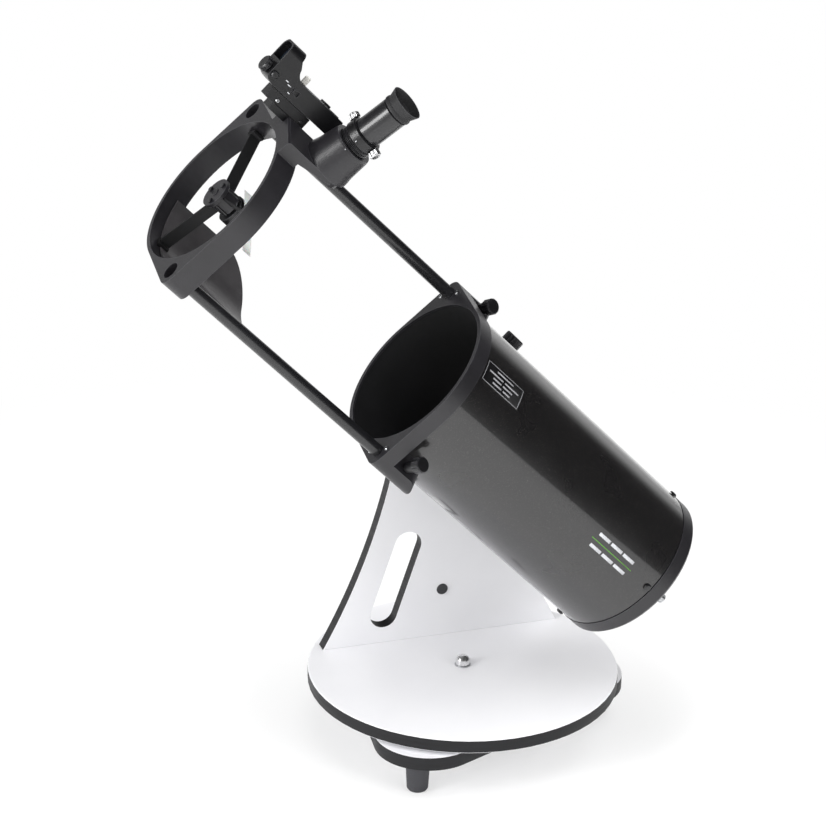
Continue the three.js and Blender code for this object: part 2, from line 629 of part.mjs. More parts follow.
function secondaryScrew() {
  const seat = HUB.front + 0.2;
  const top = seat + 2.1;
  return turned([[0, 402], [1.5, 402], [1.5, seat], [3, seat], [3, top - 0.6], [2.4, top], [0, top]], 12);
}

// A round bar along Z cut at 45 degrees, so that it faces both the focuser and the primary mirror. The top is
// square unless it is cut too.
function slantedBar(radius, low, high, slantTop) {
  const geometry = new THREE.CylinderGeometry(radius, radius, high - low, 28, 1);
  geometry.rotateX(Math.PI / 2);
  geometry.translate(0, 0, (high + low) / 2);
  const position = geometry.getAttribute('position');
  const [towardsX, towardsY] = onCircle(1, FOCUSER_ANGLE);
  for (let i = 0; i < position.count; i += 1) {
    const slant = position.getX(i) * towardsX + position.getY(i) * towardsY;
    const isTop = position.getZ(i) > (high + low) / 2;
    if (slantTop || !isTop) position.setZ(i, position.getZ(i) + slant);
  }
  return moved(solid(geometry), -DIAGONAL_OFFSET * towardsX, -DIAGONAL_OFFSET * towardsY, 0);
}

// A thin sheet curved about the tube's axis opposite the focuser, straight above and rounded below.
function lightBaffle() {
  const strips = 32;
  const halfArc = radians(BAFFLE.halfSpan) * BAFFLE.outer;
  const vertices = [];
  for (let i = 0; i <= strips; i += 1) {
    const aside = halfArc * Math.sin(radians(-90 + (180 * i) / strips));
    const intoCorner = Math.max(0, Math.abs(aside) - (halfArc - BAFFLE.corner));
    const rise = BAFFLE.corner - Math.sqrt(BAFFLE.corner ** 2 - intoCorner ** 2);
    const low = BAFFLE.bottom + rise;
    const [x, y] = onCircle(1, FOCUSER_ANGLE + 180 + (aside / BAFFLE.outer) * (180 / Math.PI));
    for (const [radius, z] of [[BAFFLE.inner, low], [BAFFLE.inner, BAFFLE.top], [BAFFLE.outer, BAFFLE.top],
      [BAFFLE.outer, low]]) {
      vertices.push(x * radius, y * radius, z);
    }
  }
  // The sheet is notched round the end of the vane it stands behind.
  const notchHalf = VANE.tabHalf + 0.5;
  const notch = aroundZ(box(-notchHalf, notchHalf, 80, 90, VANE.rear - 0.5, VANE.front + 1), -VANE_ANGLES[2]);
  return solid(skinned(vertices, strips)).subtract(notch);
}

// Joins a row of four-cornered sections into one closed skin.
function skinned(vertices, spans) {
  const index = [];
  const quad = (a, b, c, d) => index.push(a, b, c, a, c, d);
  for (let i = 0; i < spans; i += 1) {
    for (let k = 0; k < 4; k += 1) {
      const next = (k + 1) % 4;
      quad(i * 4 + k, i * 4 + next, i * 4 + 4 + next, i * 4 + 4 + k);
    }
  }
  const last = spans * 4;
  quad(0, 3, 2, 1);
  quad(last, last + 1, last + 2, last + 3);
  const geometry = new THREE.BufferGeometry();
  geometry.setAttribute('position', new THREE.Float32BufferAttribute(vertices, 3));
  geometry.setIndex(index);
  return solid(geometry).volume() < 0 ? flipped(geometry) : geometry;
}

// ---------------------------------------------------------------- finder, Z outwards and Y to the mirror end
const FINDER = {
  half: 14, front: 479, rear: 380, base: 120, deck: 141, hoopTop: 166, hoopRear: 461, wall: 2.2, corner: 10,
};
const SHOE = { rear: 408, footFront: 452, railFront: 463, low: 100, railLow: 107 };
const DIAL_OUT = 131.3;
const DECK_SCREW_S = 438;
const FLANK_SCREW = { s: 473.3, out: 129.4 };
const SWITCH = { s: 445.5, out: 130.1, halfLength: 2.6, halfHeight: 2.4, travel: 4, recess: 2.2 };

function finderShoe() {
  const foot = box(-10, 10, -SHOE.footFront, -SHOE.rear, SHOE.low, SHOE.railLow + 1);
  const rail = box(-8, 8, -SHOE.railFront, -SHOE.rear, SHOE.railLow, FINDER.base - REST);
  return foot.add(rail);
}

// Stands an outline drawn in (sideways, outwards) square to the tube, between two distances along it.
const crosswise = (shape, from, to) => raised(shape, from, to, 6).rotate([90, 0, 0]);

// An arch: straight sides and a top with rounded corners.
function archOutline(half, low, high, corner) {
  const shape = new THREE.Shape();
  shape.moveTo(-half, low);
  shape.lineTo(half, low);
  shape.absarc(half - corner, high - corner, corner, 0, Math.PI / 2, false);
  shape.absarc(-half + corner, high - corner, corner, Math.PI / 2, Math.PI, false);
  shape.closePath();
  return shape;
}

function finderBody() {
  const { front, rear, base, deck, half, hoopRear, hoopTop, wall, corner } = FINDER;
  const profile = new THREE.Shape();
  profile.moveTo(rear, base);
  profile.lineTo(rear, deck - 5);
  profile.lineTo(rear + 2, deck);
  profile.lineTo(443, deck);
  profile.quadraticCurveTo(453, deck + 2, hoopRear - 6, deck + 10);
  profile.lineTo(hoopRear, deck + 18);
  profile.lineTo(front, deck + 18);
  profile.lineTo(front, base + 6);
  profile.quadraticCurveTo(front - 1, base, front - 14, base);
  profile.closePath();
  const flank = raised(profile, -half, half, 6).rotate([90, 0, 0]).rotate([0, 0, -90]);
  const hoop = crosswise(archOutline(half, deck, hoopTop, corner), hoopRear - 1, front);
  const inside = archOutline(half - wall, deck + wall, hoopTop - wall, corner - wall);
  const opening = crosswise(inside, hoopRear - 31, front + 1);
  const rounding = crosswise(archOutline(half, base, hoopTop, corner), rear - 1, front + 1);
  const recess = box(half - SWITCH.recess, half + 1, -SWITCH.s - SWITCH.halfLength - REST,
    -SWITCH.s + SWITCH.travel + SWITCH.halfLength + REST, SWITCH.out - SWITCH.halfHeight - REST,
    SWITCH.out + SWITCH.halfHeight + REST);
  return flank.intersect(rounding).add(hoop).subtract(opening).subtract(recess)
    .subtract(onDeck(rod(2.3, -5, 1)))
    .subtract(onFlank(rod(2.3, -5, 1)));
}

function finderWindow() {
  const { half, wall, deck, hoopTop, hoopRear, corner } = FINDER;
  const gap = wall + REST;
  const pane = archOutline(half - gap, deck + gap, hoopTop - gap, corner - gap);
  return crosswise(pane, hoopRear + 8, hoopRear + 10);
}

function finderDial() {
  const dial = flutedKnob(8.5, 0, 7, 12, 0.7);
  return moved(dial.rotate([90, 0, 0]), 0, -FINDER.front - REST, DIAL_OUT);
}

// The two screws that aim the finder: one stands on its deck, one points out of its flank.
const onDeck = (body) => moved(body, 0, -DECK_SCREW_S, FINDER.deck);
const onFlank = (body) => moved(body.rotate([0, 90, 0]), FINDER.half, -FLANK_SCREW.s, FLANK_SCREW.out);

function finderAdjuster(radius, height) {
  return flutedKnob(radius, REST, height, 8, 0.5).add(rod(2, -4, 1, 10));
}

// The sliding switch in the finder's flank, drawn at the end of its travel nearer the sky.
function finderSwitch() {
  const { s, out, halfLength, halfHeight, recess } = SWITCH;
  const inner = FINDER.half - recess + REST;
  const nibHeight = halfHeight - 0.5;
  const outer = FINDER.half - 0.4;
  const base = box(inner, outer, -s - halfLength, -s + halfLength, out - halfHeight, out + halfHeight);
  const nib = box(inner, FINDER.half + 1.6, -s - 1.4, -s + 1.4, out - nibHeight, out + nibHeight);
  return base.add(nib);
}

// ---------------------------------------------------------------- focuser and eyepiece, Z along the focuser
const COLLAR_LOW = 151;
const COLLAR_HIGH = 162;
const COLLAR_RADIUS = 19.8;
const EYEPIECE_RADIUS = 16.5;
const EYEPIECE_BORE = 16.2;
const THUMBSCREW_Z = COLLAR_HIGH - 4;
const THUMBSCREW_TURN = 38;             // degrees from square to the tube, towards the mirror end

// A threaded sleeve: the thread is a row of fine rings, which a revolved outline can carry.
function focuserBarrel() {
  const root = BARREL_RADIUS - 0.9;
  const pitch = 3;
  const points = [[EYEPIECE_BORE, 108], [root, 108]];
  for (let z = 133.5; z < COLLAR_LOW - 2; z += pitch) points.push([root, z], [BARREL_RADIUS, z + pitch / 2]);
  points.push([root, COLLAR_LOW - REST], [EYEPIECE_BORE, COLLAR_LOW - REST]);
  return turned(points, 28);
}

function focuserCollar() {
  const bevel = 1.2;
  const outer = [[COLLAR_RADIUS, COLLAR_LOW], [COLLAR_RADIUS, COLLAR_HIGH - bevel],
    [COLLAR_RADIUS - bevel, COLLAR_HIGH]];
  const body = turned([[EYEPIECE_BORE, COLLAR_LOW], ...outer, [EYEPIECE_BORE, COLLAR_HIGH]], 28);
  return body.subtract(besideCollar(rod(2.2, -COLLAR_RADIUS - 1, COLLAR_RADIUS + 1, 10), 0));
}

// Lays a body built along +Z across the focuser at the thumbscrews' height, to one side or the other.
function besideCollar(body, side) {
  return moved(body.rotate([0, 90, THUMBSCREW_TURN + side]), 0, 0, THUMBSCREW_Z);
}

function thumbscrew() {
  const seat = COLLAR_RADIUS + REST;
  return turned([[0, EYEPIECE_BORE], [1.9, EYEPIECE_BORE], [1.9, seat], [4.6, seat], [5.4, seat + 0.8],
    [5.4, seat + 6.2], [4.6, seat + 7], [0, seat + 7.4]], 14);
}

function eyepieceBody() {
  const nose = EYEPIECE_BORE - REST;
  const shoulder = COLLAR_HIGH + REST;
  return turned([[0, 140], [nose, 140], [nose, shoulder], [EYEPIECE_RADIUS, shoulder], [EYEPIECE_RADIUS, 199],
    [15.2, 200.5], [15.2, 204], [0, 204]], 28)
    .subtract(rod(11, 139, 152))
    .subtract(rod(9, 195, 205));
}

// A rubber cup that grips the eyepiece, narrows, and flares to its rim.
function eyecup() {
  const outside = [[15.5, 201], [17.4, 201], [17.4, 203.5], [16.4, 205.5], [19.4, 215]];
  const inside = [[18.3, 215], [15.4, 206.5], [12, 204.5], [15.5, 204.3]];
  return turned([...outside, ...inside], 28);
}

function cageGroup() {
  const group = new THREE.Group();
  [ROD_ANGLE, ROD_ANGLE + 180].forEach((angle, i) => {
    const [x, y] = onCircle(ROD_CIRCLE, angle);
    const top = TOP_RING_FRONT_S - ROD_RECESS.depth;
    const bar = turned([[0, 63], [ROD_RADIUS - 1, 63], [ROD_RADIUS, 64], [ROD_RADIUS, top], [0, top]]);
    group.add(meshOf(`truss_rod_${i + 1}`, geometryOf(moved(bar, x, y, 0)), 'rodBlack'));
  });
  group.add(meshOf('upper_ring', geometryOf(upperRing()), 'casting'));
  VANE_ANGLES.forEach((angle, i) => {
    group.add(meshOf(`spider_vane_${i + 1}`, geometryOf(spiderVane(angle)), 'matteBlack'));
  });
  group.add(meshOf('spider_hub', geometryOf(spiderHub()), 'casting'));
  HUB_SCREW_ANGLES.forEach((angle, i) => {
    const [x, y] = onCircle(HUB.screwCircle, angle);
    group.add(meshOf(`secondary_screw_${i + 1}`, geometryOf(moved(secondaryScrew(), x, y, 0)), 'steel'));
  });
  const mirrorBack = DIAGONAL_S + DIAGONAL_THICKNESS;
  const holder = slantedBar(16, mirrorBack + REST, 401.6, false);
  group.add(meshOf('secondary_holder', geometryOf(holder), 'softBlack'));
  group.add(meshOf('secondary_mirror', geometryOf(slantedBar(DIAGONAL_RADIUS, DIAGONAL_S, mirrorBack, true)),
    'mirror'));
  group.add(meshOf('light_baffle', geometryOf(lightBaffle()), 'matteBlack'));

  const out = (body) => geometryOf(outward(body, FINDER_ANGLE));
  group.add(meshOf('finder_shoe', out(finderShoe()), 'softBlack'));
  group.add(meshOf('finder_body', out(finderBody()), 'softBlack'));
  group.add(meshOf('finder_window', out(finderWindow()), 'glass'));
  group.add(meshOf('finder_dial', out(finderDial()), 'softBlack'));
  group.add(meshOf('finder_adjuster_1', out(onDeck(finderAdjuster(3.6, 10))), 'chrome'));
  group.add(meshOf('finder_adjuster_2', out(onFlank(finderAdjuster(4.3, 3))), 'softBlack'));
  group.add(meshOf('finder_switch', out(finderSwitch()), 'softBlack'));

  const along = (body) => geometryOf(outward(moved(body, 0, -FOCUSER_S, 0), FOCUSER_ANGLE));
  group.add(meshOf('focuser_barrel', along(focuserBarrel()), 'softBlack'));
  group.add(meshOf('focuser_collar', along(focuserCollar()), 'softBlack'));
  [0, 180].forEach((side, i) => {
    group.add(meshOf(`focuser_thumbscrew_${i + 1}`, along(besideCollar(thumbscrew(), side)), 'chrome'));
  });
  group.add(meshOf('eyepiece_body', along(eyepieceBody()), 'rodBlack'));
  group.add(meshOf('eyecup', along(eyecup()), 'rubber'));
  group.add(meshOf('eyepiece_lens', along(rod(8.7, 196, 199.5)), 'glass'));
  return group;
}

// ---------------------------------------------------------------- the whole telescope
const telescope = new THREE.Group();
telescope.name = 'dobsonian_telescope';
telescope.add(groundGroup());
telescope.add(turntableGroup());
const tilted = new THREE.Group();
tilted.position.set(TUBE_X, 0, PIVOT_Z);
tilted.rotation.x = radians(90 - ALTITUDE);
tilted.add(saddleGroup());
tilted.add(tubeGroup());
tilted.add(cageGroup());
telescope.add(tilted);
const firstFoot = radians(LOBE_ANGLES[0]);
telescope.position.set(-FOOT_REACH * Math.cos(firstFoot), -FOOT_REACH * Math.sin(firstFoot), 0);

export default telescope;
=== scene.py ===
"""Looks for a tabletop dobsonian telescope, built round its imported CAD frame. Metres, +Z up.

Every CAD piece is carried over with softened edges and a procedural material. Small details are added in the
tube's own frame: X away from the side arm, Y the tube's upper side, Z along the tube to the sky.
"""
import json
import math

import bmesh
import bpy
from mathutils import Matrix, Vector


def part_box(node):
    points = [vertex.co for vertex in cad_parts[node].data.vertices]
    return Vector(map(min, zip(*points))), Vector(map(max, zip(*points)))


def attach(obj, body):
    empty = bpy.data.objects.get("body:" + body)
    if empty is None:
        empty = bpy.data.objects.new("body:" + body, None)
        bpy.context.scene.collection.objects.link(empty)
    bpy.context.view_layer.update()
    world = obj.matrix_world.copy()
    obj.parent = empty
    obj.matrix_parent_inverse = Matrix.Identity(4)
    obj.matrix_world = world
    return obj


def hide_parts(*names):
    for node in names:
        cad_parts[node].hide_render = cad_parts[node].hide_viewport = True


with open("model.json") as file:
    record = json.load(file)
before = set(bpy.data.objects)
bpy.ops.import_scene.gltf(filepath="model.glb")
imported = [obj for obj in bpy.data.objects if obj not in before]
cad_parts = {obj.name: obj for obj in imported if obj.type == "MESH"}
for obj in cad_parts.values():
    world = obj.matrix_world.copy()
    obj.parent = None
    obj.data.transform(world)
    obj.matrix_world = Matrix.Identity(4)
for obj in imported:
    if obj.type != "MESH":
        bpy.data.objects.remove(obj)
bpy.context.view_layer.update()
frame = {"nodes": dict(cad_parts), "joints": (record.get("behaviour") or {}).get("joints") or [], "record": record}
NODES = frame["nodes"]
JOINTS = {joint["name"]: joint for joint in frame["joints"]}
BODY_OF = {
    node: body
    for body, members in frame["record"]["behaviour"]["bodies"].items()
    for node in members
}
MM = 0.001


# ---------------------------------------------------------------- the tube's frame
def centre_of(node):
    low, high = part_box(node)
    return (low + high) / 2


TUBE_ALONG = Vector(JOINTS["tube_slide"]["axis"])
TUBE_ASIDE = Vector((1, 0, 0))
TUBE_UPPER = TUBE_ALONG.cross(TUBE_ASIDE)
PIVOT = Vector(JOINTS["altitude_tilt"]["pos_m"])
TUBE_ORIGIN = Vector((centre_of("main_tube").x, PIVOT.y, PIVOT.z))
TUBE_FRAME = Matrix.Translation(TUBE_ORIGIN) @ Matrix(
    (TUBE_ASIDE, TUBE_UPPER, TUBE_ALONG)
).transposed().to_4x4()
AZIMUTH_AXIS = centre_of("azimuth_bolt")

TUBE_RADIUS = 91.0
ROD_CIRCLE = 106.0
ROD_ANGLES = (-37.0, 143.0)
FOCUSER_ANGLE = 21.0
FOCUSER_ALONG = 374.5
RING_FRONT = 115.0
HUB_FRONT = 426.5
FINDER_DECK = 141.0
FINDER_HALF_WIDTH = 14.0
SHOE_RAIL_HALF_WIDTH = 8.0
SHOE_SCREW_OUT = 112.0
COLLAR_RADIUS = 19.8
TURRET_RIM_RADIUS = 24.3


def round_tube(radius, angle, along):
    """A point at an angle from the tube's upper side, positive away from the arm."""
    turn = math.radians(angle)
    return Vector((radius * math.sin(turn), radius * math.cos(turn), along))


def outward_frame(angle, radius, along):
    """Local X runs round the tube, Y towards the mirror end and Z straight out."""
    turn = math.radians(angle)
    round_it = Vector((math.cos(turn), -math.sin(turn), 0))
    out = Vector((math.sin(turn), math.cos(turn), 0))
    axes = Matrix((round_it, Vector((0, 0, -1)), out)).transposed().to_4x4()
    place = round_tube(radius, angle, along) * MM
    return TUBE_FRAME @ Matrix.Translation(place) @ axes


def facing_sky(x, y, z):
    """Local Z runs along the tube towards the sky."""
    return TUBE_FRAME @ Matrix.Translation(Vector((x, y, z)) * MM)


# ---------------------------------------------------------------- materials
def linear(level):
    """A screen brightness from 0 to 255 as a linear value."""
    part = level / 255
    return part / 12.92 if part <= 0.04045 else ((part + 0.055) / 1.055) ** 2.4


def colour(red, green, blue):
    return (linear(red), linear(green), linear(blue), 1.0)


class Shader:
    """A node material under construction: each method adds a node and returns its output."""

    def __init__(self, name):
        self.material = bpy.data.materials.new(name)
        self.material.use_nodes = True
        self.tree = self.material.node_tree
        self.surface = self.tree.nodes["Principled BSDF"]
        self.place = self.tree.nodes.new("ShaderNodeTexCoord").outputs["Object"]

    def set(self, socket, value):
        if isinstance(value, bpy.types.NodeSocket):
            self.tree.links.new(value, socket)
        else:
            socket.default_value = value

    def principled(self, **values):
        for name, value in values.items():
            self.set(self.surface.inputs[name.replace("_", " ")], value)

    def noise(self, scale, detail=3.0, rough=0.5, stretch=None):
        node = self.tree.nodes.new("ShaderNodeTexNoise")
        node.inputs["Scale"].default_value = scale
        node.inputs["Detail"].default_value = detail
        node.inputs["Roughness"].default_value = rough
        self.tree.links.new(self.stretched(stretch) if stretch else self.place, node.inputs["Vector"])
        return node.outputs["Fac"]

    def distance_from(self, point):
        node = self.tree.nodes.new("ShaderNodeVectorMath")
        node.operation = "DISTANCE"
        self.tree.links.new(self.place, node.inputs[0])
        node.inputs[1].default_value = point
        return node.outputs["Value"]

    def along(self, direction):
        node = self.tree.nodes.new("ShaderNodeVectorMath")
        node.operation = "DOT_PRODUCT"
        self.tree.links.new(self.place, node.inputs[0])
        node.inputs[1].default_value = direction
        return node.outputs["Value"]

    def stretched(self, factors):
        node = self.tree.nodes.new("ShaderNodeMapping")
        node.inputs["Scale"].default_value = factors
        self.tree.links.new(self.place, node.inputs["Vector"])
        return node.outputs["Vector"]

    def ranged(self, source, low, high, out_low, out_high):
        node = self.tree.nodes.new("ShaderNodeMapRange")
        self.tree.links.new(source, node.inputs["Value"])
        node.inputs["From Min"].default_value = low
        node.inputs["From Max"].default_value = high
        node.inputs["To Min"].default_value = out_low
        node.inputs["To Max"].default_value = out_high
        return node.outputs["Result"]

    def blended(self, factor, first, second):
        node = self.tree.nodes.new("ShaderNodeMix")
        node.data_type = "RGBA"
        self.set(node.inputs["Factor"], factor)
        # A mix node keeps its colour sockets at these places, after those for numbers and vectors.
        self.set(node.inputs[6], first)
        self.set(node.inputs[7], second)
        return node.outputs[2]

    def combined(self, first, second, operation="ADD"):
        node = self.tree.nodes.new("ShaderNodeMath")
        node.operation = operation
        self.set(node.inputs[0], first)
        self.set(node.inputs[1], second)
        return node.outputs["Value"]

    def bumped(self, height, strength, distance):
        node = self.tree.nodes.new("ShaderNodeBump")
        node.inputs["Strength"].default_value = strength
        node.inputs["Distance"].default_value = distance
        self.tree.links.new(height, node.inputs["Height"])
        self.tree.links.new(node.outputs["Normal"], self.surface.inputs["Normal"])

    def edge_wear_and_highlight(self, radius):
        """1 on sharp edges, falling to 0 on flat ground."""
        rounded = self.tree.nodes.new("ShaderNodeBevel")
        rounded.samples = 4
        rounded.inputs["Radius"].default_value = radius
        geometry = self.tree.nodes.new("ShaderNodeNewGeometry")
        dot = self.tree.nodes.new("ShaderNodeVectorMath")
        dot.operation = "DOT_PRODUCT"
        self.tree.links.new(rounded.outputs["Normal"], dot.inputs[0])
        self.tree.links.new(geometry.outputs["Normal"], dot.inputs[1])
        return self.ranged(dot.outputs["Value"], 0.995, 0.88, 0.0, 1.0)


def moulded(name, base, light, roughness, grain=1400.0, grain_depth=0.06, coat=0.0, rubbed_and_highlight=(96, 96, 101)):
    """Moulded plastic: a fine spark-eroded grain, slow colour variation, and sharp edges lightened partly as
    rubbing wear and partly as a painted highlight.
    """
    shader = Shader(name)
    cloudy = shader.noise(22.0)
    fine = shader.noise(grain, detail=2.0)
    shade = shader.blended(shader.ranged(cloudy, 0.3, 0.7, 0.0, 0.55), base, light)
    # Sharp edges blend towards the rubbed colour: partly wear, partly a painted highlight standing in for light
    # catching the edges.
    wear_and_highlight = shader.combined(shader.edge_wear_and_highlight(0.0009), 0.55, "MULTIPLY")
    sheen = shader.ranged(shader.combined(cloudy, fine), 0.7, 1.3, roughness - 0.07, roughness + 0.07)
    shader.principled(
        Base_Color=shader.blended(wear_and_highlight, shade, colour(*rubbed_and_highlight)), Roughness=sheen, Coat_Weight=coat
    )
    shader.surface.inputs["Coat Roughness"].default_value = 0.3
    shader.bumped(fine, grain_depth * 6, 0.0004)
    return shader.material


def laminate_face():
    """White melamine facing: faint pearl texture, barely uneven gloss."""
    shader = Shader("laminate_face")
    pearl = shader.noise(900.0, detail=2.0)
    cloudy = shader.noise(6.0, detail=4.0)
    shade = shader.blended(
        shader.ranged(cloudy, 0.3, 0.7, 0.0, 1.0), colour(238, 238, 241), colour(245, 245, 247)
    )
    shader.principled(Base_Color=shade, Roughness=shader.ranged(pearl, 0.3, 0.7, 0.36, 0.5))
    shader.bumped(pearl, 0.12, 0.0002)
    return shader.material


def edge_band():
    """The boards' dark plastic edging, with a faint lengthwise scuff."""
    shader = Shader("edge_band")
    scuff = shader.noise(140.0, detail=4.0, stretch=(0.15, 0.15, 3.0))
    shade = shader.blended(
        shader.ranged(scuff, 0.35, 0.7, 0.0, 1.0), colour(20, 20, 22), colour(32, 32, 35)
    )
    shader.principled(
        Base_Color=shade, Roughness=shader.ranged(scuff, 0.3, 0.7, 0.4, 0.6), Specular_IOR_Level=0.35
    )
    shader.bumped(scuff, 0.1, 0.0002)
    return shader.material


def gloss_paint():
    """The tube's gloss black paint: bright flake and slight orange peel under a clear coat."""
    shader = Shader("gloss_paint")
    peel = shader.noise(130.0, detail=1.0)
    cloudy = shader.noise(14.0)
    flake = shader.ranged(shader.noise(1500.0, detail=1.0), 0.66, 0.74, 0.0, 1.0)
    shade = shader.blended(shader.combined(flake, 0.5, "MULTIPLY"), colour(20, 19, 20), colour(120, 116, 112))
    shader.principled(
        Base_Color=shade,
        Roughness=shader.ranged(cloudy, 0.3, 0.7, 0.26, 0.36),
        Coat_Weight=1.0,
    )
    shader.surface.inputs["Coat Roughness"].default_value = 0.07
    shader.bumped(peel, 0.03, 0.0002)
    return shader.material


def flat_black():
    """Optical matte black for the inside of the tube and the vanes."""
    shader = Shader("flat_black")
    fine = shader.noise(1900.0, detail=2.0)
    cloudy = shader.noise(9.0)
    shade = shader.blended(
        shader.ranged(cloudy, 0.3, 0.7, 0.0, 1.0), colour(19, 19, 20), colour(30, 30, 32)
    )
    shader.principled(Base_Color=shade, Roughness=shader.ranged(fine, 0.3, 0.7, 0.6, 0.8))
    shader.bumped(fine, 0.2, 0.0002)
    return shader.material


def satin_metal(name, base, light, roughness):
    """Painted or anodised metal: faint scuffs under a satin coat."""
    shader = Shader(name)
    scuffs = shader.noise(90.0, detail=2.0, stretch=(1.0, 0.12, 0.12))
    cloudy = shader.noise(30.0)
    shade = shader.blended(shader.ranged(cloudy, 0.3, 0.7, 0.0, 1.0), base, light)
    sheen = shader.ranged(scuffs, 0.3, 0.7, roughness - 0.04, roughness + 0.05)
    shader.principled(Base_Color=shade, Roughness=sheen, Coat_Weight=0.6)
    shader.surface.inputs["Coat Roughness"].default_value = 0.12
    return shader.material


def bright_metal(name, base, dull, roughness):
    """Bare or plated metal, duller in slow patches."""
    shader = Shader(name)
    cloudy = shader.noise(90.0, detail=4.0)
    fine = shader.noise(1600.0, detail=2.0)
    shade = shader.blended(shader.ranged(cloudy, 0.35, 0.7, 0.0, 1.0), base, dull)
    sheen = shader.ranged(cloudy, 0.3, 0.7, roughness, roughness + 0.12)
    shader.principled(Base_Color=shade, Roughness=sheen, Metallic=1.0)
    shader.bumped(fine, 0.04, 0.0001)
    return shader.material


def mirror_coat():
    """Aluminised glass: nearly perfect, with the faintest haze."""
    shader = Shader("mirror_coat")
    haze = shader.noise(40.0, detail=5.0)
    shader.principled(
        Base_Color=(0.90, 0.92, 0.95, 1.0),
        Metallic=1.0,
        Roughness=shader.ranged(haze, 0.4, 0.8, 0.015, 0.06),
    )
    return shader.material


def ground_glass():
    """The sawn and ground edge of a mirror: pale, frosted and slightly green."""
    shader = Shader("ground_glass")
    frost = shader.noise(700.0, detail=3.0)
    shade = shader.blended(frost, colour(196, 200, 198), colour(226, 229, 227))
    shader.principled(Base_Color=shade, Roughness=0.55, Subsurface_Weight=0.15)
    shader.bumped(frost, 0.15, 0.0002)
    return shader.material


def coated_lens():
    """Optical glass with a violet-green coating, laid over a dark inside."""
    shader = Shader("coated_lens")
    sweep = shader.noise(60.0, detail=1.0)
    shade = shader.blended(sweep, colour(38, 30, 58), colour(28, 48, 46))
    shader.principled(Base_Color=shade, Roughness=0.03, Coat_Weight=1.0)
    shader.surface.inputs["Coat Roughness"].default_value = 0.01
    return shader.material


def printed(name, ink):
    """Screen-printed ink, thin in places."""
    shader = Shader(name)
    thin = shader.noise(1500.0, detail=2.0)
    faded = (ink[0] * 0.6, ink[1] * 0.6, ink[2] * 0.6, 1.0)
    shade = shader.blended(shader.ranged(thin, 0.4, 0.7, 0.0, 1.0), ink, faded)
    shader.principled(Base_Color=shade, Roughness=0.4)
    return shader.material


LOOKS = {
    "laminate_board": laminate_face(),
    "edge_band": edge_band(),
    "foot_rubber": moulded("foot_rubber", colour(54, 54, 58), colour(74, 74, 78), 0.66, 900.0, 0.10),
    "slide_plastic": moulded(
        "slide_plastic", colour(206, 204, 198), colour(226, 225, 220), 0.42, 700.0, 0.03,
        rubbed_and_highlight=(236, 236, 232),
    ),
    "cast_plastic": moulded("cast_plastic", colour(29, 28, 31), colour(43, 42, 46), 0.38, 1300.0, 0.07, 0.3),
    "black_plastic": moulded(
        "black_plastic", colour(13, 13, 15), colour(25, 25, 27), 0.36, 1500.0, 0.05, 0.2
    ),
    "tube_paint": gloss_paint(),
    "black_metal": satin_metal("black_metal", colour(18, 18, 20), colour(30, 30, 33), 0.36),
    "flat_black_metal": flat_black(),
    "baffle_sheet": satin_metal("baffle_sheet", colour(56, 54, 56), colour(72, 70, 72), 0.48),
    "chrome": bright_metal("chrome", (0.88, 0.88, 0.88, 1), (0.78, 0.78, 0.79, 1), 0.22),
    "plain_steel": bright_metal("plain_steel", (0.66, 0.67, 0.68, 1), (0.52, 0.53, 0.55, 1), 0.28),
    "mirror_coat": mirror_coat(),
    "ground_glass": ground_glass(),
    "optical_glass": coated_lens(),
    "eyecup_rubber": moulded("eyecup_rubber", colour(30, 30, 31), colour(48, 48, 50), 0.55, 1000.0, 0.08),
    "label_black": printed("label_black", colour(16, 16, 18)),
    "label_ink": printed("label_ink", colour(168, 168, 172)),
    "white_ink": printed("white_ink", colour(222, 224, 228)),
    "green_ink": printed("green_ink", colour(96, 160, 60)),
}


# ---------------------------------------------------------------- building pieces
def linked(name, mesh):
    piece = bpy.data.objects.new(name, mesh)
    bpy.context.scene.collection.objects.link(piece)
    return piece


SOFTENED_ABOVE = math.radians(28.0)
SOFTENED_STEPS = 2
SEAM = 2e-6
SLIVER = 1e-6
SAME_PLANE = math.radians(0.6)


def add_softening(piece, width):
    """Rounds a piece's hard edges slightly and keeps its flat faces flat."""
    bevel = piece.modifiers.new("soft_edges", "BEVEL")
    bevel.limit_method = "ANGLE"
    bevel.angle_limit = SOFTENED_ABOVE
    bevel.width = width
    bevel.segments = SOFTENED_STEPS
    bevel.miter_outer = "MITER_ARC"
    bevel.use_clamp_overlap = True
    shade = piece.modifiers.new("even_shading", "WEIGHTED_NORMAL")
    shade.keep_sharp = True
    shade.weight = 60


def made_piece(name, build, body, slot, place, looks=None, softening=0.0003):
    """Makes one detail piece from a function that fills a bmesh in millimetres, in its place's own frame."""
    shape = bmesh.new()
    build(shape)
    bmesh.ops.recalc_face_normals(shape, faces=shape.faces)
    bmesh.ops.transform(shape, matrix=place @ Matrix.Scale(MM, 4), verts=shape.verts)
    for face in shape.faces:
        face.smooth = True
    mesh = bpy.data.meshes.new(name)
    shape.to_mesh(mesh)
    shape.free()
    for look in looks or (slot,):
        mesh.materials.append(LOOKS[look])
    piece = linked(name, mesh)
    if softening:
        add_softening(piece, softening)
    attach(piece, body)
    return piece


